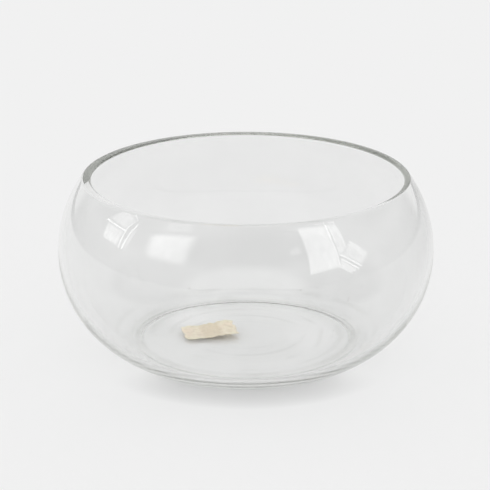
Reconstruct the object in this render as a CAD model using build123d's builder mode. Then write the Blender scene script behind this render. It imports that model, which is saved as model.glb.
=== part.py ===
"""Floating candle bowl: a squat blown bowl of clear glass with a wide mouth.

The glass is one piece, turned from a chain of tangent arcs, and stands on a
ground ring round a shallow recess. A loose strip of folded tape lies on its
inner floor. Millimetres; Z is up, the table is Z = 0 and the bowl's outside is
centred on the Z axis.
"""

import os
from math import asin
from math import atan2
from math import cos
from math import degrees
from math import radians
from math import sin
from math import tan

from build123d import *

# Outside of the bowl
belly_radius = 125.0  # widest circle
belly_height = 70.5  # level of the widest circle above the table
bowl_height = 120.5  # table to the top of the lip
mouth_inset = 17.0  # the lip's outer edge lies this far inside the widest circle
foot_inset = 51.0  # the heel runs out level this far inside the widest circle
heel_radius = 14.0  # round corner between the flank and the underside
ground_depth = 0.3  # glass ground off below the heel so that the bowl stands flat

# Underside
ring_width = 0.5  # ground standing ring, this far inwards from where the heel runs out
recess_depth = 0.6  # the middle of the underside stays clear of the table
recess_slope = 3.5  # width of the slope from the ring up into the recess

# Glass thickness and inside
belly_wall = 4.0  # wall at the widest circle
lip_width = 6.5  # mean wall at the mouth
base_thickness = 6.0  # table to the inner floor
flank_gain = 2.0  # the inner flank's arc is this much tighter, so the wall fills out downwards
cove_radius = 28.0  # round corner between the inner wall and the floor
bore_offset = 1.5  # the inside stands this far towards +X, so the lip is wider at -X
lip_outer = 2.5  # fire-polished outer edge of the lip
lip_inner = 1.5  # fire-polished inner edge of the lip

# Tape strip
tape_width = 24.0
tape_thickness = 0.3
tape_flat = 13.0  # length that lies on the glass
tape_rise = 15.0  # length of the middle facet, folded up
tape_tab = 10.0  # length of the end facet, folded back towards level
rise_angle = 5.0  # slope of the middle facet in degrees
tab_angle = 2.0  # slope of the end facet in degrees
tape_x = -24.6  # middle of the strip on the floor
tape_y = 4.0
tape_turn = 13.0  # turn of the strip about Z in degrees


def arc_radius(run, rise):
    """Radius of an arc that leaves upright and moves over by run within rise."""
    return (run**2 + rise**2) / (2 * run)


def arc_turn(run, rise):
    """Degrees through which the same arc turns."""
    return degrees(2 * atan2(run, rise))


# Outer arcs: shoulder above the belly, flank and heel below it
mouth_radius = belly_radius - mouth_inset
foot_radius = belly_radius - foot_inset
shoulder_rise = bowl_height - belly_height
shoulder_radius = arc_radius(mouth_inset, shoulder_rise)
shoulder_turn = arc_turn(mouth_inset, shoulder_rise)
flank_run = foot_inset - heel_radius
flank_drop = belly_height + ground_depth - heel_radius
flank_radius = heel_radius + arc_radius(flank_run, flank_drop)
flank_turn = arc_turn(flank_run, flank_drop)
heel_level = heel_radius - ground_depth
heel_end = degrees(asin(heel_level / heel_radius))
contact_radius = foot_radius + heel_radius * cos(radians(heel_end))
recess_radius = foot_radius - ring_width

# Inner arcs: the neck above the belly, the inner flank and the cove below it
bore_radius = belly_radius - belly_wall
bore_mouth = mouth_radius - lip_width
neck_run = bore_radius - bore_mouth
neck_radius = arc_radius(neck_run, shoulder_rise)
neck_turn = arc_turn(neck_run, shoulder_rise)
inner_radius = flank_radius - belly_wall - flank_gain
cove_level = base_thickness + cove_radius
cove_reach = inner_radius - cove_radius
cove_turn = degrees(asin((belly_height - cove_level) / cove_reach))
floor_radius = bore_radius - inner_radius + cove_reach * cos(radians(cove_turn))

# Lip edges: both roundings together stay within the narrowest part of the lip
lip_narrow = lip_width - bore_offset
inner_spread = lip_inner / tan(radians(90 - neck_turn) / 2)
outer_spread = lip_outer / tan(radians(90 + shoulder_turn) / 2)
lip_share = min(1.0, 0.97 * lip_narrow / (inner_spread + outer_spread))

# Folded line of the strip: lying length, middle facet, end facet
rise_run = tape_rise * cos(radians(rise_angle))
rise_lift = tape_rise * sin(radians(rise_angle))
tab_run = tape_tab * cos(radians(tab_angle))
tab_lift = tape_tab * sin(radians(tab_angle))
tape_length = tape_flat + rise_run + tab_run

os.makedirs("parts", exist_ok=True)

# Glass bowl: the outside turned about Z, the inside cut about its own axis
bore_plane = Plane(origin=(bore_offset, 0, 0), x_dir=(1, 0, 0), z_dir=(0, -1, 0))
with BuildPart() as glass_bowl:
    with BuildSketch(Plane.XZ):
        with BuildLine():
            CenterArc((belly_radius - shoulder_radius, belly_height), shoulder_radius, 0, shoulder_turn)
            CenterArc((belly_radius - flank_radius, belly_height), flank_radius, -flank_turn, flank_turn)
            CenterArc((foot_radius, heel_level), heel_radius, -heel_end, heel_end - flank_turn)
            Polyline(
                (contact_radius, 0),
                (recess_radius, 0),
                (recess_radius - recess_slope, recess_depth),
                (0, recess_depth),
                (0, bowl_height),
                (mouth_radius, bowl_height),
            )
        make_face()
    revolve(axis=Axis.Z)
    with BuildSketch(bore_plane):
        with BuildLine():
            CenterArc((bore_radius - neck_radius, belly_height), neck_radius, 0, neck_turn)
            CenterArc((bore_radius - inner_radius, belly_height), inner_radius, -cove_turn, cove_turn)
            CenterArc((floor_radius, cove_level), cove_radius, -90, 90 - cove_turn)
            Polyline(
                (floor_radius, base_thickness),
                (0, base_thickness),
                (0, bowl_height),
                (bore_mouth, bowl_height),
            )
        make_face()
    revolve(axis=Axis((bore_offset, 0, 0), (0, 0, 1)), mode=Mode.SUBTRACT)
    lip_edges = glass_bowl.edges().group_by(Axis.Z)[-1].sort_by(SortBy.LENGTH)
    fillet(lip_edges[-1], radius=lip_outer * lip_share)
    lip_edges = glass_bowl.edges().group_by(Axis.Z)[-1].sort_by(SortBy.LENGTH)
    fillet(lip_edges[0], radius=lip_inner * lip_share)
glass_bowl.part.label = "glass_bowl"
export_step(glass_bowl.part, "parts/glass_bowl.step")

# Tape strip: a thin folded line given the strip's width on a turned plane
tape_cos = cos(radians(tape_turn))
tape_sin = sin(radians(tape_turn))
tape_start = (tape_x - tape_length / 2 * tape_cos, tape_y - tape_length / 2 * tape_sin, base_thickness)
tape_plane = Plane(origin=tape_start, x_dir=(tape_cos, tape_sin, 0), z_dir=(tape_sin, -tape_cos, 0))
with BuildPart() as tape_strip:
    with BuildSketch(tape_plane):
        with BuildLine():
            Polyline(
                (0, 0),
                (tape_flat, 0),
                (tape_flat + rise_run, rise_lift),
                (tape_length, rise_lift + tab_lift),
                (tape_length, rise_lift + tab_lift + tape_thickness),
                (tape_flat + rise_run, rise_lift + tape_thickness),
                (tape_flat, tape_thickness),
                (0, tape_thickness),
                close=True,
            )
        make_face()
    extrude(amount=tape_width / 2, both=True)
tape_strip.part.label = "tape_strip"
export_step(tape_strip.part, "parts/tape_strip.step")
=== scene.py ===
"""Clear blown-glass candle bowl with a folded strip of paper tape on its floor.

The bowl is a section of tangent arcs, turned by a geometry node tree. The strip
is a folded sheet with torn edges. The stage is a pale floor in a soft room, with
light panels that only the outer face of the glass mirrors. Lengths are in
metres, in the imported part's own frame.
"""

import math

import bpy
import numpy as np
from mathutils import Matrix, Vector
from mathutils import noise


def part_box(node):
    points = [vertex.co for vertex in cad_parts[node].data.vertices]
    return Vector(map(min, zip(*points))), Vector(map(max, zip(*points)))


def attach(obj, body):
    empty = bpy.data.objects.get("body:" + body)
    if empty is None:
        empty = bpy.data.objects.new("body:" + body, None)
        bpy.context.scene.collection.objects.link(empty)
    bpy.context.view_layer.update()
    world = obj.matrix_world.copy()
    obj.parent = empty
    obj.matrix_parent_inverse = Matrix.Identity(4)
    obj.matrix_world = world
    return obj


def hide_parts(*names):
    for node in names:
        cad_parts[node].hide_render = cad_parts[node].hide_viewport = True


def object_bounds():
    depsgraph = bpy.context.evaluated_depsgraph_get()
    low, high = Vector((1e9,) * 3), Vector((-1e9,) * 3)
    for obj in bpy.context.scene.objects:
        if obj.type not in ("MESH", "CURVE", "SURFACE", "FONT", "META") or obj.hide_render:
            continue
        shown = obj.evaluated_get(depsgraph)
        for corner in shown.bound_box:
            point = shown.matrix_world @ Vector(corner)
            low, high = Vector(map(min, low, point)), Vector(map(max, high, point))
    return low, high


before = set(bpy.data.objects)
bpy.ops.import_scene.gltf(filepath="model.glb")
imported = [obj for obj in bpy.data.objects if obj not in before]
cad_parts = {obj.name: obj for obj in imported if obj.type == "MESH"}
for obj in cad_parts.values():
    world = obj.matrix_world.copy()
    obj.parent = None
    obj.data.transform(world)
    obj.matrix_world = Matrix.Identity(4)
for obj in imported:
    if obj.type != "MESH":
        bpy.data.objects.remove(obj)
cad_low, cad_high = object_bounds()
strip_low, strip_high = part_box("tape_strip")

bl_info = {
    "name": "Floating candle bowl",
    "version": (1, 0, 0),
    "blender": (4, 5, 0),
    "location": "View3D > Sidebar > Candle Bowl",
    "description": "Makes a clear glass bowl, the tape strip in it and a pale stage",
    "category": "Object",
}

WHITE = (1.0, 1.0, 1.0, 1.0)
BLACK = (0.0, 0.0, 0.0, 1.0)


# Node trees


class Socket:
    """One output of a node, used in plain arithmetic."""

    def __init__(self, tree, link):
        self.tree = tree
        self.link = link

    def math(self, operation, *values):
        return self.tree.add("ShaderNodeMath", {"operation": operation}, dict(enumerate(values)))[0]

    def __add__(self, other):
        return self.math("ADD", self, other)

    def __radd__(self, other):
        return self.math("ADD", other, self)

    def __sub__(self, other):
        return self.math("SUBTRACT", self, other)

    def __rsub__(self, other):
        return self.math("SUBTRACT", other, self)

    def __mul__(self, other):
        return self.math("MULTIPLY", self, other)

    def __rmul__(self, other):
        return self.math("MULTIPLY", other, self)

    def __truediv__(self, other):
        return self.math("DIVIDE", self, other)

    def __rtruediv__(self, other):
        return self.math("DIVIDE", other, self)

    def __pow__(self, other):
        return self.math("POWER", self, other)

    def __lt__(self, other):
        return self.math("LESS_THAN", self, other)

    def __gt__(self, other):
        return self.math("GREATER_THAN", self, other)

    def __abs__(self):
        return self.math("ABSOLUTE", self)

    def floor(self):
        return self.math("FLOOR", self)

    def sine(self):
        return self.math("SINE", self)

    def cosine(self):
        return self.math("COSINE", self)

    def least(self, other):
        return self.math("MINIMUM", self, other)

    def most(self, other):
        return self.math("MAXIMUM", self, other)

    def ramp(self, low, high, start=0.0, end=1.0):
        """Smooth step from start to end between low and high."""
        settings = {"interpolation_type": "SMOOTHSTEP", "clamp": True}
        sockets = {"Value": self, "From Min": low, "From Max": high, "To Min": start, "To Max": end}
        return self.tree.add("ShaderNodeMapRange", settings, sockets)[0]

    def fade(self, low, high):
        """Smooth step from one to zero between low and high."""
        return 1 - self.ramp(low, high)

    def band(self, rise, fall):
        """Smooth step up over one stretch and down again over a later one."""
        return self.ramp(*rise) * self.fade(*fall)


class Node:
    """A node in a tree; its outputs are read by place, identifier or name."""

    def __init__(self, tree, made):
        self.tree = tree
        self.made = made

    def __getitem__(self, key):
        return Socket(self.tree, find(self.made.outputs, key))


class Tree:
    """A node tree that nodes are added to."""

    def __init__(self, group):
        self.group = group

    def add(self, kind, settings=None, sockets=None):
        """Add a node of this kind, set its settings, then fill or link its sockets."""
        made = self.group.nodes.new(kind)
        for key, value in (settings or {}).items():
            setattr(made, key, value)
        for key, value in (sockets or {}).items():
            socket = find(made.inputs, key)
            if isinstance(value, Socket):
                self.group.links.new(value.link, socket)
            else:
                socket.default_value = value
        return Node(self, made)

    def mix(self, factor, first, second, clamp=True):
        """Colour between first and second, or past second where the factor isn't clamped."""
        settings = {"data_type": "RGBA", "clamp_factor": clamp}
        sockets = {"Factor_Float": factor, "A_Color": first, "B_Color": second}
        return self.add("ShaderNodeMix", settings, sockets)["Result_Color"]

    def noise(self, spot, scale, detail, distortion=0.0):
        """Noise over these coordinates, about 0.5 on average."""
        sockets = {"Vector": spot, "Scale": scale, "Detail": detail, "Distortion": distortion}
        return self.add("ShaderNodeTexNoise", None, sockets)[0]

    def stretched(self, spot, scale):
        """Coordinates scaled by their own amount along each axis."""
        return self.add("ShaderNodeMapping", None, {"Vector": spot, "Scale": scale})["Vector"]

    def vector(self, x=0.0, y=0.0, z=0.0):
        return self.add("ShaderNodeCombineXYZ", None, {"X": x, "Y": y, "Z": z})["Vector"]

    def parts(self, vector):
        """The X, Y and Z of a vector."""
        made = self.add("ShaderNodeSeparateXYZ", None, {"Vector": vector})
        return made["X"], made["Y"], made["Z"]

    def attribute(self, name):
        return self.add("ShaderNodeAttribute", {"attribute_name": name})

    def bump(self, height, strength, distance):
        """Normal of a surface with this relief."""
        sockets = {"Height": height, "Strength": strength, "Distance": distance}
        return self.add("ShaderNodeBump", None, sockets)["Normal"]


def find(sockets, key):
    """The socket with this place, identifier or name."""
    if isinstance(key, int):
        return sockets[key]
    for socket in sockets:
        if socket.identifier == key:
            return socket
    return sockets[key]


def new_material(name):
    """An empty material and its tree."""
    material = bpy.data.materials.new(name)
    material.use_nodes = True
    material.node_tree.nodes.clear()
    return material, Tree(material.node_tree)


def opaque(colour):
    return (*colour, 1.0)


def reach_from_axis(x, y):
    """Distance from the bowl's axis, kept just above zero."""
    return (x**2.0 + y**2.0 + 1e-9) ** 0.5


# Settings


def length(name, description, default):
    return bpy.props.FloatProperty(
        name=name, description=description, default=default, min=0.0, precision=5, unit="LENGTH"
    )


def place(name, description, default):
    return bpy.props.FloatProperty(
        name=name, description=description, default=default, precision=5, unit="LENGTH"
    )


def angle(name, description, degrees):
    return bpy.props.FloatProperty(
        name=name, description=description, default=math.radians(degrees), subtype="ANGLE"
    )


def amount(name, description, default):
    return bpy.props.FloatProperty(name=name, description=description, default=default, precision=4)


def colour(name, description, default):
    return bpy.props.FloatVectorProperty(
        name=name, description=description, default=default, min=0.0, max=1.0, subtype="COLOR"
    )


class BowlSettings(bpy.types.PropertyGroup):
    """Sizes and finish of the glass bowl."""

    belly_radius: length("Belly radius", "Widest circle", (cad_high.x - cad_low.x) / 2)
    bowl_height: length("Height", "Table to the top of the lip", cad_high.z - cad_low.z)
    belly_height: length("Belly height", "Level of the widest circle", 0.0705)
    mouth_inset: length("Mouth inset", "Lip's outer edge inside the widest circle", 0.017)
    foot_inset: length("Foot inset", "Where the heel runs out, inside the widest circle", 0.051)
    heel_radius: length("Heel radius", "Round corner of the underside", 0.014)
    ground_depth: length("Ground depth", "Glass ground off to stand flat", 0.0003)
    ring_width: length("Ring width", "Standing ring inside the heel's end", 0.0005)
    recess_depth: length("Recess depth", "Hollow of the underside", 0.0006)
    recess_slope: length("Recess slope", "Width of the slope into the recess", 0.0035)
    belly_wall: length("Belly wall", "Glass at the widest circle", 0.004)
    lip_width: length("Lip width", "Mean glass at the mouth", 0.0065)
    base_thickness: length("Base thickness", "Table to the inner floor", strip_low.z)
    flank_gain: length("Flank gain", "How much tighter the inner flank's arc is", 0.002)
    cove_radius: length("Cove radius", "Round corner of the inner floor", 0.028)
    bore_offset: length("Bore offset", "Shift of the inside towards +X at the mouth", 0.0011)
    lean_start: length("Lean start", "Level below which the inside is not shifted", 0.098)
    lip_outer: length("Lip outer rounding", "Fire-polished outer edge of the lip", 0.0018)
    lip_inner: length("Lip inner rounding", "Fire-polished inner edge of the lip", 0.0015)
    ring_height: length("Ring height", "Turning rings on the inner floor", 0.00003)
    ring_spacing: length("Ring spacing", "Distance between the turning rings", 0.013)
    wave_height: length("Wave height", "Unevenness of the blown wall", 0.00003)
    wave_length: length("Wave length", "Size of the wall's waves", 0.055)
    segments: bpy.props.IntProperty(
        name="Segments", description="Steps round the bowl", default=360, min=24
    )
    seed: bpy.props.IntProperty(name="Seed", description="Pattern of the waves", default=7)
    tint: colour("Tint", "Light kept at each surface", (0.972, 0.974, 0.972))
    smear: colour("Smear", "Light kept where the glass is smeared", (0.955, 0.957, 0.955))
    speck: colour("Speck", "Light kept at the specks of the base", (0.40, 0.38, 0.34))
    # This tint also paints a dark shade line round the foot, where the heel's contact shadow shows
    # through the base
    ring_and_foot_shade_tint: colour("Ring tint", "Light kept at the inner floor's rings", (0.66, 0.67, 0.64))
    body_tint: colour("Body tint", "Colour of thick glass", (0.79, 0.80, 0.775))
    body_density: amount("Body density", "Absorption inside the glass, per metre", 6.0)
    ground: amount("Ground roughness", "Roughness of the ground standing ring", 0.25)


class StripSettings(bpy.types.PropertyGroup):
    """Sizes, place and paper of the tape strip."""

    width: length("Width", "Width of the tape", 0.024)
    thickness: length("Thickness", "Thickness of the sheet", 0.0003)
    flat: length("Flat length", "Length that lies on the glass", 0.013)
    rise: length("Rise length", "Length of the middle facet", 0.015)
    tab: length("Tab length", "Length of the end facet", 0.010)
    rise_angle: angle("Rise angle", "Slope of the middle facet", 5.0)
    tab_angle: angle("Tab angle", "Slope of the end facet", 2.0)
    middle_x: place("Place in X", "Middle of the strip", (strip_low.x + strip_high.x) / 2)
    middle_y: place("Place in Y", "Middle of the strip", (strip_low.y + strip_high.y) / 2)
    floor_height: length("Floor height", "Level that the strip lies on", strip_low.z)
    turn: angle("Turn", "Turn of the strip about Z", 13.0)
    ragged: length("Ragged edge", "Depth of the torn and frayed edges", 0.002)
    crumple: length("Crumple", "Height of the sheet's creases", 0.0011)
    back_lift: length("Back lift", "Curl of the sheet's far edge", 0.0013)
    translucency: amount("Translucency", "Light that passes through the paper", 0.35)
    paper: colour("Paper", "Middle of the tape", (0.89, 0.79, 0.62))
    blush: colour("Blush", "Pinker blotches", (0.89, 0.75, 0.60))
    # Painted shade of the middle facet, as if it tilted away from the light; the blotches take this
    # colour too
    fold_shade_and_blotch: colour("Crease", "Darker folded part", (0.71, 0.60, 0.45))
    edge: colour("Edge", "Rubbed and glued edges", (0.87, 0.80, 0.62))
    fleck: colour("Fleck", "Dark fibres", (0.50, 0.38, 0.27))


class StageSettings(bpy.types.PropertyGroup):
    """Floor, room light, light panels and camera."""

    floor: colour("Floor", "Pale floor", (0.88, 0.88, 0.88))
    pale: amount("Pale level", "Brightness near the horizon", 0.88)
    dim: amount("Dim level", "Brightness of the upper room as the glass mirrors it", 0.5)
    room: amount("Room level", "Brightness of the upper room through the glass", 0.3)
    glow: amount("Room glow", "Extra brightness at the upper room's right, through the glass", 0.35)
    front_dim: amount("Front dimming", "Darkening of the upper room on the camera's side", 0.8)
    gap: amount("Gap level", "Brightness of the room's dark foot as the glass mirrors it", 0.18)
    gap_top: angle("Gap top", "Height of the room's dark foot", 16.0)
    table_fall: amount("Table fall-off", "Darkening of the table's right as the glass mirrors it", 0.4)
    table_reach: length("Table reach", "Where the table ends as the glass mirrors it", 1.6)
    sweep_side: angle("Sweep side", "Half width of the pale backdrop", 50.0)
    sweep_top: angle("Sweep top", "Height of the pale backdrop", 50.0)
    sweep_mirrored: angle("Mirrored sweep", "Half width of the backdrop as the glass mirrors it", 36.0)
    overhead: amount("Overhead", "Extra brightness straight above", 1.0)
    shade: amount("Shade", "Light lost on its way through the glass to the floor", 0.035)
    contact_shade: amount("Contact shade", "Depth of the shade at the bowl's heel", 0.25)
    contact_reach: length("Contact reach", "Width of the shade at the bowl's heel", 0.017)
    floor_lift: amount("Floor lift", "Light that the bowl throws back on the floor round it", 0.045)
    panel_level: amount("Panel level", "Brightness of the light panels", 1.0)
    panel_distance: length("Panel distance", "Light panels to the bowl", 2.2)
    camera_height: length("Camera aim", "Level that the camera looks at", 0.0718)
    camera_distance: length("Camera distance", "Camera to the aim", 1.3356)
    camera_rise: angle("Camera rise", "Height of the camera's view", 18.678)
    camera_side: place("Camera side", "Shift of the camera in X", -0.0006)
    lens: bpy.props.FloatProperty(
        name="Lens", description="Focal length", default=146.94, subtype="DISTANCE_CAMERA"
    )


# Glass bowl

# Points along each stretch of the glass's section
STEPS = {
    "recess": 10,
    "slope": 9,
    "ring": 6,
    "heel": 14,
    "flank": 46,
    "shoulder": 38,
    "edge": 10,
    "rim": 12,
    "neck": 36,
    "inner": 40,
    "cove": 18,
    "floor": 14,
}
# Inputs of the node tree that turns the section, and their kinds
LATHE_INPUTS = {
    "Section": "Geometry",
    "Segments": "Int",
    "Bore Offset": "Float",
    "Floor Height": "Float",
    "Middle Height": "Float",
    "Lean Start": "Float",
    "Lean End": "Float",
    "Ring Height": "Float",
    "Ring Spacing": "Float",
    "Wave Height": "Float",
    "Wave Length": "Float",
    "Seed": "Int",
}
# The inside has its own waves, this far along in the noise
INSIDE_SEED = 3.7
# Points closer than this are joined, which closes the seam and the poles
WELD_DISTANCE = 0.000002
# Heights above the table over which the outside's waves come in and the ground ring ends
WAVE_START = (0.002, 0.02)
GROUND_TOP = (0.0006, 0.001)
# Heights above the inner floor over which shapes, marks and the painted light spots end, and between
# which its rings and the painted shade line round the foot lie
RIPPLE_TOP = (0.0005, 0.006)
PAINTED_LIGHT_TOP = (0.001, 0.006)
SPECK_TOP = (0.014, 0.024)
RING_LEVELS = ((-0.003, -0.0015), (0.0015, 0.003))
# Reaches from the axis over which the floor's ripples and rings come in
RIPPLE_START = (0.0, 0.02)
RING_START = (0.02, 0.035)
# Reaches past the foot's circle between which the painted shade line round the foot and the ground ring
# lie
FOOT_SHADE_BAND = ((-0.005, -0.0015), (-0.0005, 0.003))
GROUND_RING = ((-0.0055, -0.003), (0.0028, 0.005))
# Cords in the glass are drawn out level, so they repeat faster upwards
CORD_STRETCH = (9.0, 9.0, 70.0)
# Shares by which the marks of the base show
SPECK_SHARE = 0.6
RING_SHARE = 0.3
# How far smears bend the turning rings, in radians
RING_BEND = 3.0
# Painted light: places in the base where the glass is made clearer, so the floor shows brighter through
# them, as their middle and half sizes
PAINTED_LIGHT_SPOTS = [(-0.041, 0.038, 0.018, 0.018), (0.045, 0.003, 0.017, 0.032)]


def arc_radius(run, rise):
    """Radius of an arc that leaves upright and moves over by run within rise."""
    return (run * run + rise * rise) / (2 * run)


def arc(centre, radius, start, end, count):
    """Points on an arc from one angle to another, in radians."""
    return [
        (centre[0] + radius * math.cos(a), centre[1] + radius * math.sin(a))
        for a in np.linspace(start, end, count)
    ]


def smooth(t):
    """Smooth step from zero to one."""
    t = min(1.0, max(0.0, t))
    return t * t * (3 - 2 * t)


def outer_section(s):
    """The glass's half section from the underside's middle to the lip's top, and the flank's radius."""
    foot = s.belly_radius - s.foot_inset
    shoulder = arc_radius(s.mouth_inset, s.bowl_height - s.belly_height)
    run = s.foot_inset - s.heel_radius
    drop = s.belly_height + s.ground_depth - s.heel_radius
    flank = s.heel_radius + arc_radius(run, drop)
    flank_turn = 2 * math.atan2(run, drop)
    heel_level = s.heel_radius - s.ground_depth
    heel_end = math.asin(heel_level / s.heel_radius)
    contact = foot + s.heel_radius * math.cos(heel_end)
    level = s.bowl_height - s.lip_outer
    edge_turn = math.asin((level - s.belly_height) / (shoulder - s.lip_outer))
    edge = (s.belly_radius - shoulder + (shoulder - s.lip_outer) * math.cos(edge_turn), level)
    ring = foot - s.ring_width
    slope = ring - s.recess_slope

    points = [(r, s.recess_depth) for r in np.linspace(0, slope, STEPS["recess"])]
    for t in np.linspace(0, 1, STEPS["slope"])[1:]:
        points.append((slope + t * s.recess_slope, s.recess_depth * (1 - smooth(t))))
    points += [(r, 0.0) for r in np.linspace(ring, contact, STEPS["ring"])[1:-1]]
    points += arc((foot, heel_level), s.heel_radius, -heel_end, -flank_turn, STEPS["heel"])
    middle = (s.belly_radius - flank, s.belly_height)
    points += arc(middle, flank, -flank_turn, 0, STEPS["flank"])[1:]
    middle = (s.belly_radius - shoulder, s.belly_height)
    points += arc(middle, shoulder, 0, edge_turn, STEPS["shoulder"])[1:]
    points += arc(edge, s.lip_outer, edge_turn, math.pi / 2, STEPS["edge"])[1:]
    return points, flank


def inner_section(s, flank):
    """The glass's half section from the lip's top down to the middle of the inner floor."""
    bore = s.belly_radius - s.belly_wall
    neck_run = bore - (s.belly_radius - s.mouth_inset) + s.lip_width
    neck = arc_radius(neck_run, s.bowl_height - s.belly_height)
    level = s.bowl_height - s.lip_inner
    rim_turn = math.asin((level - s.belly_height) / (neck + s.lip_inner))
    rim = (bore - neck + (neck + s.lip_inner) * math.cos(rim_turn), level)
    inner = flank - s.belly_wall - s.flank_gain
    cove_level = s.base_thickness + s.cove_radius
    reach = inner - s.cove_radius
    cove_turn = math.asin((s.belly_height - cove_level) / reach)
    floor = bore - inner + reach * math.cos(cove_turn)

    points = arc(rim, s.lip_inner, math.pi / 2, math.pi + rim_turn, STEPS["rim"])
    points += arc((bore - neck, s.belly_height), neck, rim_turn, 0, STEPS["neck"])[1:]
    points += arc((bore - inner, s.belly_height), inner, 0, -cove_turn, STEPS["inner"])[1:]
    points += arc((floor, cove_level), s.cove_radius, -cove_turn, -math.pi / 2, STEPS["cove"])[1:]
    points += [(r, s.base_thickness) for r in np.linspace(floor, 0, STEPS["floor"])[1:]]
    return points


def lathe_tree(material):
    """Node tree that turns a section about Z, shifts its inside and makes the wall uneven."""
    group = bpy.data.node_groups.new("Blown Bowl", "GeometryNodeTree")
    for name, kind in LATHE_INPUTS.items():
        group.interface.new_socket(name, in_out="INPUT", socket_type="NodeSocket" + kind)
    group.interface.new_socket("Bowl", in_out="OUTPUT", socket_type="NodeSocketGeometry")
    tree = Tree(group)
    given = tree.add("NodeGroupInput")
    section = given["Section"]
    columns = given["Segments"] + 1
    size = tree.add("GeometryNodeAttributeDomainSize", {"component": "MESH"}, {"Geometry": section})
    sockets = {"Vertices X": size["Point Count"], "Vertices Y": columns}
    grid = tree.add("GeometryNodeMeshGrid", None, sockets)["Mesh"]
    index = tree.add("GeometryNodeInputIndex")["Index"]
    row = ((index + 0.5) / columns).floor()
    turn = (index - row * columns) * (2 * math.pi) / given["Segments"]

    def sample(kind, value):
        """A value at the section's point of this row."""
        settings = {"data_type": kind, "domain": "POINT"}
        sockets = {"Geometry": section, "Value": value, "Index": row}
        return tree.add("GeometryNodeSampleIndex", settings, sockets)[0]

    point = tree.add("GeometryNodeInputPosition")["Position"]
    settings = {"data_type": "FLOAT"}
    mark = tree.add("GeometryNodeInputNamedAttribute", settings, {"Name": "inside"})["Attribute"]
    radius, _, height = tree.parts(sample("FLOAT_VECTOR", point))
    inside = sample("FLOAT", mark)
    shift = inside * given["Bore Offset"] * height.ramp(given["Lean Start"], given["Lean End"])
    ripple = (radius * (2 * math.pi) / given["Ring Spacing"]).sine() * given["Ring Height"]
    above = height - given["Floor Height"]
    ripple = ripple * inside * above.fade(*RIPPLE_TOP) * radius.ramp(*RIPPLE_START)
    turned = tree.vector(radius * turn.cosine() + shift, radius * turn.sine(), height + ripple)

    middle = tree.vector(z=given["Middle Height"])
    sockets = {0: turned, 1: middle}
    away = tree.add("ShaderNodeVectorMath", {"operation": "SUBTRACT"}, sockets)["Vector"]
    outward = tree.add("ShaderNodeVectorMath", {"operation": "NORMALIZE"}, {0: away})["Vector"]
    sockets = {
        "Vector": turned,
        "W": given["Seed"] + inside * INSIDE_SEED,
        "Scale": 1 / given["Wave Length"],
        "Detail": 1.0,
    }
    wave = tree.add("ShaderNodeTexNoise", {"noise_dimensions": "4D"}, sockets)[0]
    held = inside.most(height.ramp(*WAVE_START))
    push = (wave - 0.5) * 2 * given["Wave Height"] * held
    sockets = {"Vector": outward, "Scale": push}
    offset = tree.add("ShaderNodeVectorMath", {"operation": "SCALE"}, sockets)["Vector"]

    sockets = {"Geometry": grid, "Position": turned, "Offset": offset}
    bowl = tree.add("GeometryNodeSetPosition", None, sockets)[0]
    sockets = {"Geometry": bowl, "Distance": WELD_DISTANCE}
    bowl = tree.add("GeometryNodeMergeByDistance", None, sockets)[0]
    bowl = tree.add("GeometryNodeFlipFaces", None, {"Mesh": bowl})[0]
    sockets = {"Geometry": bowl, "Shade Smooth": True}
    bowl = tree.add("GeometryNodeSetShadeSmooth", None, sockets)[0]
    bowl = tree.add("GeometryNodeRealizeInstances", None, {"Geometry": bowl})[0]
    bowl = tree.add("GeometryNodeSetMaterial", None, {"Geometry": bowl, "Material": material})[0]
    tree.add("NodeGroupOutput", None, {"Bowl": bowl})
    return group


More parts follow.
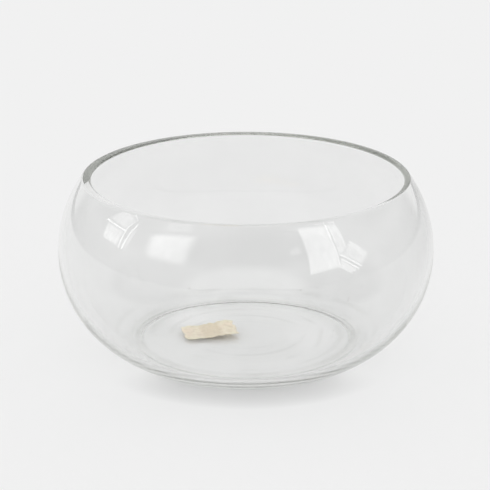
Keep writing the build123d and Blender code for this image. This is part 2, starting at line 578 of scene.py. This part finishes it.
def clear_glass(s):
    """Clear, faintly green blown glass with smears, drawn-out cords and a marked base, with painted
    light spots and a painted shade line round the foot.
    """
    material, tree = new_material("Clear Blown Glass")
    spot = tree.add("ShaderNodeTexCoord")["Object"]
    x, y, z = tree.parts(spot)
    above = z - s.base_thickness
    reach = reach_from_axis(x, y)
    past_foot = reach - (s.belly_radius - s.foot_inset)
    smear = tree.noise(spot, scale=28.0, detail=5.0, distortion=0.6)
    tint = tree.mix(smear.ramp(0.35, 0.7), opaque(s.tint), opaque(s.smear))

    # Painted light: the glass is made clearer at these spots, so the floor seen through the base shows
    # brighter there
    clear = 0.0
    for middle_x, middle_y, wide, deep in PAINTED_LIGHT_SPOTS:
        off = ((x - middle_x) / wide) ** 2.0 + ((y - middle_y) / deep) ** 2.0
        clear = off.fade(0.1, 1.6).most(clear)
    tint = tree.mix(clear * above.fade(*PAINTED_LIGHT_TOP), tint, WHITE)

    grain = tree.add("ShaderNodeTexVoronoi", None, {"Vector": spot, "Scale": 95.0})["Distance"]
    speck = grain.fade(0.05, 0.09) * (smear > 0.5) * above.fade(*SPECK_TOP)
    tint = tree.mix(speck * SPECK_SHARE, tint, opaque(s.speck))

    turned = (reach * (2 * math.pi / s.ring_spacing) + smear * RING_BEND).sine().ramp(0.3, 1.0)
    turned = turned * reach.ramp(*RING_START) * smear.ramp(0.4, 0.6) * RING_SHARE
    # Painted shade: a dark line on the inner floor round the foot, where the heel's contact shadow shows
    # through; the rings' mask carries it along with the turning rings
    painted_foot_shade = past_foot.band(*FOOT_SHADE_BAND) * smear.ramp(0.3, 0.65, 0.15, 0.6)
    rings = turned.most(painted_foot_shade) * above.band(*RING_LEVELS)
    tint = tree.mix(rings, tint, opaque(s.ring_and_foot_shade_tint))

    ground = past_foot.band(*GROUND_RING) * z.fade(*GROUND_TOP)
    cords = tree.noise(tree.stretched(spot, CORD_STRETCH), scale=1.0, detail=2.0)
    sockets = {
        "Base Color": tint,
        "Roughness": ground * s.ground,
        "IOR": 1.5,
        "Transmission Weight": 1.0,
        "Normal": tree.bump(cords, strength=0.012, distance=0.001),
    }
    shade = tree.add("ShaderNodeBsdfPrincipled", None, sockets)["BSDF"]
    sockets = {"Color": opaque(s.body_tint), "Density": s.body_density}
    body = tree.add("ShaderNodeVolumeAbsorption", None, sockets)["Volume"]
    tree.add("ShaderNodeOutputMaterial", None, {"Surface": shade, "Volume": body})
    return material


def make_plain(context, piece, group, sizes):
    """Run a node tree on a piece and keep its result as the piece's mesh."""
    modifier = piece.modifiers.new("Shape", "NODES")
    modifier.node_group = group
    for item in group.interface.items_tree:
        if item.in_out == "INPUT" and item.name in sizes:
            modifier[item.identifier] = sizes[item.name]
    graph = context.evaluated_depsgraph_get()
    mesh = bpy.data.meshes.new_from_object(piece.evaluated_get(graph))
    if not mesh.polygons:
        raise RuntimeError(piece.name + " came out empty")
    piece.modifiers.clear()
    old = piece.data
    piece.data = mesh
    mesh.name = piece.name
    bpy.data.meshes.remove(old)


class BOWL_OT_glass(bpy.types.Operator):
    """Turn the glass bowl from its section."""

    bl_idname = "candle_bowl.glass"
    bl_label = "Glass Bowl"

    def execute(self, context):
        s = context.scene.candle_bowl
        outside, flank = outer_section(s)
        inside = inner_section(s, flank)
        points = [(r, 0.0, z) for r, z in outside + inside]
        marks = [0.0] * len(outside) + [1.0] * len(inside)
        mesh = bpy.data.meshes.new("Glass Bowl Section")
        mesh.from_pydata(points, [(i, i + 1) for i in range(len(points) - 1)], [])
        mesh.attributes.new("inside", "FLOAT", "POINT").data.foreach_set("value", marks)
        bowl = bpy.data.objects.new("blown_bowl", mesh)
        context.scene.collection.objects.link(bowl)
        group = lathe_tree(clear_glass(s))
        sizes = {
            "Segments": s.segments,
            "Bore Offset": s.bore_offset,
            "Floor Height": s.base_thickness,
            "Middle Height": s.belly_height,
            "Lean Start": s.lean_start,
            "Lean End": s.bowl_height,
            "Ring Height": s.ring_height,
            "Ring Spacing": s.ring_spacing,
            "Wave Height": s.wave_height,
            "Wave Length": s.wave_length,
            "Seed": s.seed,
        }
        make_plain(context, bowl, group, sizes)
        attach(bowl, "root")
        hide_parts("glass_bowl")
        return {"FINISHED"}


# Tape strip

# Steps along and across the strip
STRIP_STEPS = (96, 48)
# Reach of the rounding at each crease
CREASE_SOFTNESS = 0.0008
# Coarse and fine tears of an edge as their count per metre, layer of the noise and weight
TEARS = [(260, 0.4, 0.7), (900, 2.2, 0.5)]
TEAR_DEPTH = 0.45
# Row of the noise that each torn edge follows
EDGE_ROWS = {"start": 3.1, "end": 8.3, "back": 5.5, "front": 12.7}
# Coarse and fine creases as their counts per metre along and across, layer of the noise and weight
CREASES = [(170, 110, 9.0, 1.0), (420, 380, 2.0, 0.4)]
# The creases grow over the first length, then over the second one past the lying part, which has
# this share of them
CREASE_START = 0.006
CREASE_GROWTH = 0.012
LYING_SHARE = 0.4
# The far edge stands out by this much, past this share of the middle facet, as if folded askew
ASKEW_STEP = 0.0012
ASKEW_RUN = 0.003
ASKEW_START = 0.8
# Both long edges curl by this much over this length past the lying part
EDGE_CURL = 0.0005
EDGE_CURL_RUN = 0.02
# Share of the thickness between the two faces, so that the sheet stays clear of the glass
UNDER_SHARE = 0.9
# Stretches of the strip's length where the painted shade of the middle facet starts and ends
FOLD_SHADE = ((0.30, 0.38), (0.66, 0.76))
# Crepe wrinkles along and across the strip
CREPE = (60, 9)
# Shares by which the marks of the paper and the painted shade of the middle facet show
BLUSH_SHARE = 0.8
FOLD_SHADE_SHARE = 0.55
BLOTCH_SHARE = 0.6
FLECK_SHARE = 0.25


def tape_paper(s):
    """Creped paper tape: tan and blotched, with rubbed edges, painted shade on the middle facet, fibres
    and wrinkles.
    """
    material, tree = new_material("Creped Paper Tape")
    across = tree.attribute("across")["Fac"]
    along = tree.attribute("along")["Fac"]
    spot = tree.add("ShaderNodeTexCoord")["Object"]
    stain = tree.noise(spot, scale=95.0, detail=2.0)
    blotch = tree.noise(spot, scale=330.0, detail=4.0)
    fibre = tree.noise(spot, scale=1400.0, detail=3.0)
    sheet = tree.vector(along * CREPE[0], across * CREPE[1])
    crepe = tree.noise(sheet, scale=1.0, detail=3.0)
    worn = (abs(across - 0.5) + (blotch - 0.5) * 0.6).ramp(0.26, 0.46)
    blushed = (1 - worn) * stain.ramp(0.42, 0.62)
    tint = tree.mix(worn, opaque(s.paper), opaque(s.edge))
    tint = tree.mix(blushed * BLUSH_SHARE, tint, opaque(s.blush))
    # Painted shade: the middle facet is darkened as if it tilted away from the light
    tint = tree.mix(along.band(*FOLD_SHADE) * FOLD_SHADE_SHARE, tint, opaque(s.fold_shade_and_blotch))
    tint = tree.mix(blotch.ramp(0.48, 0.66) * BLOTCH_SHARE, tint, opaque(s.fold_shade_and_blotch))
    tint = tree.mix(fibre.ramp(0.45, 0.75) * FLECK_SHARE, tint, opaque(s.fleck))
    sockets = {
        "Base Color": tint,
        "Roughness": 0.62 + fibre * 0.3,
        "Specular IOR Level": 0.3,
        "Subsurface Weight": s.translucency,
        "Subsurface Radius": (1.0, 0.9, 0.8),
        "Subsurface Scale": 0.001,
        "Normal": tree.bump(crepe * 0.7 + fibre * 0.3, strength=0.6, distance=0.0003),
    }
    shade = tree.add("ShaderNodeBsdfPrincipled", None, sockets)["BSDF"]
    tree.add("ShaderNodeOutputMaterial", None, {"Surface": shade})
    return material


def strip_length(s):
    """Level length of the folded sheet."""
    return s.flat + s.rise * math.cos(s.rise_angle) + s.tab * math.cos(s.tab_angle)


def strip_height(s, u):
    """Height of the folded sheet at length u, its creases slightly rounded."""

    def knee(x):
        return (x + math.sqrt(x * x + CREASE_SOFTNESS * CREASE_SOFTNESS)) / 2

    rise = math.tan(s.rise_angle)
    tab = math.tan(s.tab_angle)
    second = s.flat + s.rise * math.cos(s.rise_angle)
    return rise * knee(u - s.flat) + (tab - rise) * knee(u - second)


def fray(t, row):
    """Depth of a torn edge at a place along it, from 0 to 1."""
    depth = TEAR_DEPTH
    for tears, layer, weight in TEARS:
        depth += weight * noise.noise((row, t * tears, layer))
    return min(1.0, max(0.0, depth))


def askew(s, u):
    """How far the far edge stands out at length u."""
    return ASKEW_STEP * smooth((u - s.flat - s.rise * ASKEW_START) / ASKEW_RUN)


def crumpled(s, u, v):
    """Height of the creases at a place on the sheet."""
    height = 0.0
    for along, across, layer, weight in CREASES:
        height += weight * abs(noise.noise((u * along, v * across, layer)))
    loose = LYING_SHARE + (1 - LYING_SHARE) * smooth((u - s.flat) / CREASE_GROWTH)
    return height * s.crumple * smooth(u / CREASE_START) * loose


def strip_point(s, a, b):
    """Place on the sheet's upper face at the shares a along it and b across it."""
    total = strip_length(s)
    v = (b - 0.5) * s.width
    start = fray(v, EDGE_ROWS["start"]) * s.ragged
    end = total - fray(v, EDGE_ROWS["end"]) * s.ragged
    u = start + a * (end - start)
    row = EDGE_ROWS["back"] if b > 0.5 else EDGE_ROWS["front"]
    hem = s.width / 2 - fray(u, row) * s.ragged
    v = (2 * b - 1) * hem + askew(s, u) * b
    curl = EDGE_CURL * smooth((u - s.flat) / EDGE_CURL_RUN) * (2 * b - 1) ** 2
    curl += s.back_lift * b * b
    height = strip_height(s, u) + crumpled(s, u, v) + curl
    du = u - total / 2
    return (
        s.middle_x + du * math.cos(s.turn) - v * math.sin(s.turn),
        s.middle_y + du * math.sin(s.turn) + v * math.cos(s.turn),
        s.floor_height + height + s.thickness,
    )


def strip_faces(long_way, cross_way):
    """Quads of the sheet's two faces and of the four edges between them."""
    step = cross_way + 1  # from a point to the next one along
    under = (long_way + 1) * step  # from a point of the upper face to the one below it
    faces = []
    for i in range(long_way):
        for j in range(cross_way):
            k = i * step + j
            faces.append((k, k + step, k + step + 1, k + 1))
            k += under
            faces.append((k, k + 1, k + step + 1, k + step))
    for i in range(long_way):
        k = i * step
        faces.append((k, k + under, k + under + step, k + step))
        k += cross_way
        faces.append((k, k + step, k + step + under, k + under))
    for j in range(cross_way):
        k = j
        faces.append((k, k + 1, k + 1 + under, k + under))
        k += long_way * step
        faces.append((k, k + under, k + under + 1, k + 1))
    return faces


class BOWL_OT_strip(bpy.types.Operator):
    """Fold the strip of paper tape on the bowl's floor."""

    bl_idname = "candle_bowl.strip"
    bl_label = "Tape Strip"

    def execute(self, context):
        s = context.scene.candle_strip
        long_way, cross_way = STRIP_STEPS
        rows, columns = range(long_way + 1), range(cross_way + 1)
        shares = [(i / long_way, j / cross_way) for i in rows for j in columns]
        upper = [strip_point(s, a, b) for a, b in shares]
        lower = [(x, y, z - s.thickness * UNDER_SHARE) for x, y, z in upper]
        mesh = bpy.data.meshes.new("Tape Strip")
        mesh.from_pydata(upper + lower, [], strip_faces(long_way, cross_way))
        for name, values in zip(("along", "across"), zip(*shares)):
            mesh.attributes.new(name, "FLOAT", "POINT").data.foreach_set("value", values * 2)
        mesh.materials.append(tape_paper(s))
        for polygon in mesh.polygons:
            polygon.use_smooth = True
        mesh.validate()
        strip = bpy.data.objects.new("folded_strip", mesh)
        context.scene.collection.objects.link(strip)
        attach(strip, "root")
        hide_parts("tape_strip")
        return {"FINISHED"}


# Stage

FLOOR_HALF = 8.0
FLOOR_LEVEL = -0.0002
# How far round the bowl its walls throw light back on the floor
LIFT_REACH = 0.3
# Stretch of the table in X over which it darkens as the glass mirrors it, and shares of its reach
# over which it ends
TABLE_SIDE = (0.1, 0.5)
TABLE_END = (0.8, 1.3)
# Cosines of the angle from straight ahead over which the shade at the heel comes in
SHADE_FRONT = (0.5, 0.95)
# Heights in degrees where the room turns bright overhead and where its pale foot ends
OVERHEAD = (60, 72)
PALE_FOOT = (16, 30)
# Middle of the room's glow as azimuth and elevation, and the angles over which it fades in
GLOW_AIM = (70, 45)
GLOW_REACH = (45, 15)
# Cosines of the angle from the camera's side over which the upper room darkens
ROOM_FRONT = (0.1, 0.6)
# Share of the height of the room's dark foot at which it starts to fade
GAP_FADE = 0.4
# Widths in radians over which the backdrop's sides, its top and its mirrored sides fade out
SIDE_BLUR = 0.15
TOP_BLUR = 0.2
MIRRORED_BLUR = 0.2
# Middle of the light panels, which lie round it
PANEL_MIDDLE = Vector((0, 0, 0.1))
# Folds of the panels run upwards, so they repeat faster sideways, and change the light this much
PANEL_STRETCH = (14.0, 14.0, 4.0)
PANEL_FOLDS = 1.2
# Light panels as brightness, softness of the edge and corners, each an azimuth and an
# elevation in degrees from the bowl
PANELS = [
    # Left: two panels and a narrow one beside them
    (3.3, 0.18, [(-102.8, 20.6), (-84.2, 23.8), (-83.6, 11.8), (-99, 10.2)]),
    (2.7, 0.20, [(-103.5, 21.6), (-84.8, 24.2), (-82.6, 34.4), (-99, 36)]),
    (2.2, 0.30, [(-80.2, 32), (-80.4, 11.5), (-77, 12.5), (-76.8, 29)]),
    # Left of the middle: one broad bright panel and its fainter top
    (4.8, 0.26, [(-65.5, 11.5), (-34, 13), (-31, 43.5), (-70, 32)]),
    (1.9, 0.30, [(-68, 44), (-63, 34), (-37, 42), (-48, 58)]),
    # Right: the largest panel, a faint one beside it, then three that lean away
    (4.2, 0.10, [(36.6, 6.2), (56.6, 7.4), (62.8, 43.4), (39.6, 48.6)]),
    (2.0, 0.30, [(25.2, 29.8), (27.6, 25.5), (37.5, 25.5), (37, 35.5)]),
    (3.2, 0.12, [(57.4, 15.6), (65.6, 19.2), (70.6, 41), (62.4, 43.4)]),
    (2.9, 0.18, [(58.8, 17.4), (71.4, 3.4), (79, 10.5), (69.8, 26)]),
    (3.4, 0.10, [(58, 14), (67.8, 2.4), (63.2, 0.8), (56, 8.2)]),
]
# Brighter middle of the largest panel, in front of it
GLOW = (6.0, 0.45, [(42, 19), (57, 19), (58.5, 35), (42, 35)])
# Bars in front of the panels as brightness, two ends and a width in degrees
BARS = [
    # Left panels
    (5.4, (-103.4, 20.6), (-84.5, 23.9), 1.9),
    (5.0, (-84.0, 32.5), (-85.1, 26.0), 1.7),
    (5.0, (-85.1, 26.0), (-83.1, 11.8), 1.7),
    (5.0, (-80.6, 32.1), (-80.6, 12.0), 1.9),
    (5.0, (-97.4, 34.8), (-93.2, 34.3), 1.4),
    (4.6, (-95.0, 36.2), (-90.5, 35.7), 1.4),
    (4.2, (-92.4, 37.2), (-88.1, 36.5), 1.4),
    (3.8, (-89.3, 36.3), (-82.6, 33.7), 1.2),
    # Right panels
    (6.4, (62.2, 42.3), (58.3, 30.0), 1.7),
    (5.8, (58.3, 30.0), (56.4, 8.5), 1.5),
    (5.0, (64.4, 41.0), (59.8, 28.0), 1.2),
    (4.4, (67.5, 39.0), (64.8, 21.5), 1.3),
    (5.4, (56.0, 45.8), (71.0, 41.4), 1.5),
    (4.6, (58.8, 10.2), (58.2, 7.3), 1.2),
    (5.4, (59.0, 17.6), (70.7, 3.7), 1.9),
    (4.9, (58.6, 14.1), (68.4, 3.0), 2.0),
    (3.8, (66.8, 22.6), (70.0, 17.5), 1.0),
    (3.8, (69.0, 23.8), (73.0, 17.5), 1.0),
]
BAR_SOFTNESS = 0.4
# The glow and the bars stand nearer than the panels, at these shares of their distance
GLOW_SHARE = 0.96
BAR_SHARE = 0.94
# Places across a panel, whose edges all fade, and across a bar, whose long edges fade
PANEL_PLACES = [(0.0, 0.0, 0.0), (1.0, 0.0, 0.0), (1.0, 1.0, 0.0), (0.0, 1.0, 0.0)]
BAR_PLACES = [(0.5, 0.0, 0.0), (0.5, 0.0, 0.0), (0.5, 1.0, 0.0), (0.5, 1.0, 0.0)]
# Light runs round inside the lip for this many bounces before it is lost
BOUNCES = 256
SENSOR_WIDTH = 36.0
CLIP_END = 100.0


def sines(*degrees):
    return [math.sin(math.radians(d)) for d in degrees]


def cosines(*degrees):
    return [math.cos(math.radians(d)) for d in degrees]


def direction(azimuth, elevation):
    """The way from the bowl to an azimuth and an elevation in degrees."""
    a, e = math.radians(azimuth), math.radians(elevation)
    return Vector((math.sin(a) * math.cos(e), -math.cos(a) * math.cos(e), math.sin(e)))


def mirror_rays(path):
    """One for a ray that a surface mirrors, zero for one that passes through."""
    return path["Is Glossy Ray"] * (1 - path["Is Transmission Ray"])


def floor_material(s):
    """Pale matt floor, shaded in front of the bowl's heel and lifted round the bowl."""
    material, tree = new_material("Pale Floor")
    x, y, _ = tree.parts(tree.add("ShaderNodeTexCoord")["Object"])
    reach = reach_from_axis(x, y)
    front = (-1.0 * y / reach).ramp(*SHADE_FRONT)

    def covered(distance):
        """Share of the sky that something within this distance takes away."""
        sockets = {"Distance": distance}
        return 1 - tree.add("ShaderNodeAmbientOcclusion", {"samples": 8}, sockets)["AO"]

    path = tree.add("ShaderNodeLightPath")
    direct = 1 - path["Transmission Depth"].least(1.0)
    mirror = mirror_rays(path)
    shaded = covered(s.contact_reach) * front * direct * s.contact_shade
    lifted = covered(LIFT_REACH) * (1 - front) * direct * s.floor_lift
    end = [s.table_reach * share for share in TABLE_END]
    far = reach.ramp(*end) * mirror * (1 - s.gap)
    beside = x.ramp(*TABLE_SIDE) * mirror * s.table_fall
    level = (1 - shaded) * (1 + lifted) * (1 - far) * (1 - beside)
    tint = tree.mix(level, BLACK, opaque(s.floor), clamp=False)
    sockets = {"Base Color": tint, "Roughness": 1.0, "Specular IOR Level": 0.0}
    shade = tree.add("ShaderNodeBsdfPrincipled", None, sockets)["BSDF"]
    tree.add("ShaderNodeOutputMaterial", None, {"Surface": shade})
    return material


def panel_material(s):
    """Softly folded light panel that only the glass's outer face mirrors and that lights nothing."""
    material, tree = new_material("Light Panel")
    path = tree.add("ShaderNodeLightPath")
    level = tree.attribute("level")["Fac"]
    soft = tree.attribute("soft")["Fac"]
    across, up, _ = tree.parts(tree.attribute("place")["Vector"])
    spot = tree.add("ShaderNodeTexCoord")["Object"]
    folds = tree.noise(tree.stretched(spot, PANEL_STRETCH), scale=1.0, detail=3.0)
    bounces = path["Glossy Depth"]
    shown = (path["Diffuse Depth"] < 0.5) * (bounces > 0.5) * (bounces < 1.5)
    shown = shown * (path["Transmission Depth"] < 0.5)
    for side in (across, 1 - across, up, 1 - up):
        shown = shown * side.ramp(0.0, soft)
    level = level * (1 + (folds - 0.5) * PANEL_FOLDS) * s.panel_level
    glow = tree.add("ShaderNodeEmission", None, {"Color": level})["Emission"]
    empty = tree.add("ShaderNodeBsdfTransparent")["BSDF"]
    shade = tree.add("ShaderNodeMixShader", None, {0: shown, 1: empty, 2: glow})["Shader"]
    tree.add("ShaderNodeOutputMaterial", None, {"Surface": shade})
    return material


def sky(s):
    """Soft room light, even on matt surfaces, with one look through the glass and one mirrored in it."""
    world = bpy.data.worlds.new("Soft Room")
    world.use_nodes = True
    world.node_tree.nodes.clear()
    world.cycles.sampling_method = "NONE"
    tree = Tree(world.node_tree)
    x, y, up = tree.parts(tree.add("ShaderNodeTexCoord")["Generated"])
    path = tree.add("ShaderNodeLightPath")
    high = up.ramp(*sines(*OVERHEAD)) * s.overhead

    sweep = y.ramp(math.cos(s.sweep_side + SIDE_BLUR), math.cos(s.sweep_side))
    sweep = sweep * up.fade(math.sin(s.sweep_top), math.sin(s.sweep_top + TOP_BLUR))
    low = sweep.most(up.fade(*sines(*PALE_FOOT)))
    aim = direction(*GLOW_AIM)
    near = x * aim.x + y * aim.y + up * aim.z
    lit = 1 - (-1.0 * y).ramp(*ROOM_FRONT) * s.front_dim
    room = (near.ramp(*cosines(*GLOW_REACH)) * s.glow + s.room) * lit
    seen = low * (s.pale - room) + room + high * lit

    foot = up.fade(math.sin(s.gap_top) * GAP_FADE, math.sin(s.gap_top))
    away = foot * (s.gap - s.dim) + s.dim
    sweep = y.ramp(math.cos(s.sweep_mirrored + MIRRORED_BLUR), math.cos(s.sweep_mirrored))
    mirrored = sweep * (s.pale - away) + away + high

    mirror = mirror_rays(path)
    shown = seen * (1 - mirror) + mirrored * mirror
    matt = path["Diffuse Depth"].least(1.0)
    even = 1 - path["Transmission Depth"].least(1.0) * s.shade
    level = shown * (1 - matt) + even * matt
    glow = tree.add("ShaderNodeBackground", None, {"Color": level})["Background"]
    tree.add("ShaderNodeOutputWorld", None, {"Surface": glow})
    return world


def bar_quads():
    """The bars as panels: brightness, softness of the edge and corners."""
    quads = []
    for level, start, end, width in BARS:
        start, end = Vector(start), Vector(end)
        along = end - start
        side = Vector((-along.y, along.x)).normalized() * width / 2
        corners = (start - side, end - side, end + side, start + side)
        quads.append((level, BAR_SOFTNESS, corners))
    return quads


def panel_object(context, name, panels, places, material, distance):
    """One object of light panels at this distance from the bowl."""
    levels, softness, quads = zip(*panels)
    verts = [PANEL_MIDDLE + direction(*corner) * distance for quad in quads for corner in quad]
    faces = [tuple(range(4 * k, 4 * k + 4)) for k in range(len(panels))]
    spread = [number for spot in places for number in spot] * len(panels)
    mesh = bpy.data.meshes.new(name)
    mesh.from_pydata(verts, [], faces)
    mesh.attributes.new("level", "FLOAT", "FACE").data.foreach_set("value", levels)
    mesh.attributes.new("soft", "FLOAT", "FACE").data.foreach_set("value", softness)
    mesh.attributes.new("place", "FLOAT_VECTOR", "POINT").data.foreach_set("vector", spread)
    mesh.materials.append(material)
    panel = bpy.data.objects.new(name, mesh)
    context.scene.collection.objects.link(panel)
    panel.visible_camera = False
    panel.visible_diffuse = False
    panel.visible_shadow = False


class BOWL_OT_stage(bpy.types.Operator):
    """Set up the pale floor, the soft light and the camera."""

    bl_idname = "candle_bowl.stage"
    bl_label = "Stage"

    def execute(self, context):
        s = context.scene.candle_stage
        scene = context.scene
        corners = [(-1, -1), (1, -1), (1, 1), (-1, 1)]
        corners = [(x * FLOOR_HALF, y * FLOOR_HALF, FLOOR_LEVEL) for x, y in corners]
        mesh = bpy.data.meshes.new("Floor")
        mesh.from_pydata(corners, [], [(0, 1, 2, 3)])
        mesh.materials.append(floor_material(s))
        floor = bpy.data.objects.new("Floor", mesh)
        scene.collection.objects.link(floor)
        scene.world = sky(s)
        glow = panel_material(s)
        distance = s.panel_distance
        panel_object(context, "Light Panels", PANELS, PANEL_PLACES, glow, distance)
        panel_object(context, "Light Glow", [GLOW], PANEL_PLACES, glow, distance * GLOW_SHARE)
        panel_object(context, "Light Bars", bar_quads(), BAR_PLACES, glow, distance * BAR_SHARE)

        camera = bpy.data.objects.new("Camera", bpy.data.cameras.new("Camera"))
        scene.collection.objects.link(camera)
        back = Vector((0, -math.cos(s.camera_rise), math.sin(s.camera_rise)))
        camera.location = Vector((s.camera_side, 0, s.camera_height)) + back * s.camera_distance
        camera.rotation_euler = (math.pi / 2 - s.camera_rise, 0, 0)
        camera.data.sensor_width = SENSOR_WIDTH
        camera.data.lens = s.lens
        camera.data.clip_end = CLIP_END
        scene.camera = camera
        scene.view_settings.view_transform = "Standard"
        scene.cycles.blur_glossy = 0.0
        scene.cycles.max_bounces = BOUNCES
        scene.cycles.transmission_bounces = BOUNCES
        scene.cycles.glossy_bounces = BOUNCES
        return {"FINISHED"}


class BOWL_PT_panel(bpy.types.Panel):
    """Settings and steps of the candle bowl."""

    bl_idname = "BOWL_PT_panel"
    bl_label = "Candle Bowl"
    bl_space_type = "VIEW_3D"
    bl_region_type = "UI"
    bl_category = "Candle Bowl"

    def draw(self, context):
        groups = (("candle_bowl", "glass"), ("candle_strip", "strip"), ("candle_stage", "stage"))
        for settings, step in groups:
            box = self.layout.box()
            box.operator("candle_bowl." + step)
            values = getattr(context.scene, settings)
            for name in values.bl_rna.properties.keys():
                if name not in ("rna_type", "name"):
                    box.prop(values, name)


CLASSES = (
    BowlSettings,
    StripSettings,
    StageSettings,
    BOWL_OT_glass,
    BOWL_OT_strip,
    BOWL_OT_stage,
    BOWL_PT_panel,
)


def register():
    for item in CLASSES:
        bpy.utils.register_class(item)
    bpy.types.Scene.candle_bowl = bpy.props.PointerProperty(type=BowlSettings)
    bpy.types.Scene.candle_strip = bpy.props.PointerProperty(type=StripSettings)
    bpy.types.Scene.candle_stage = bpy.props.PointerProperty(type=StageSettings)


def unregister():
    del bpy.types.Scene.candle_stage
    del bpy.types.Scene.candle_strip
    del bpy.types.Scene.candle_bowl
    for item in reversed(CLASSES):
        bpy.utils.unregister_class(item)


def main():
    register()
    bpy.ops.candle_bowl.glass()
    bpy.ops.candle_bowl.strip()
    bpy.ops.candle_bowl.stage()


if __name__ == "__main__":
    main()
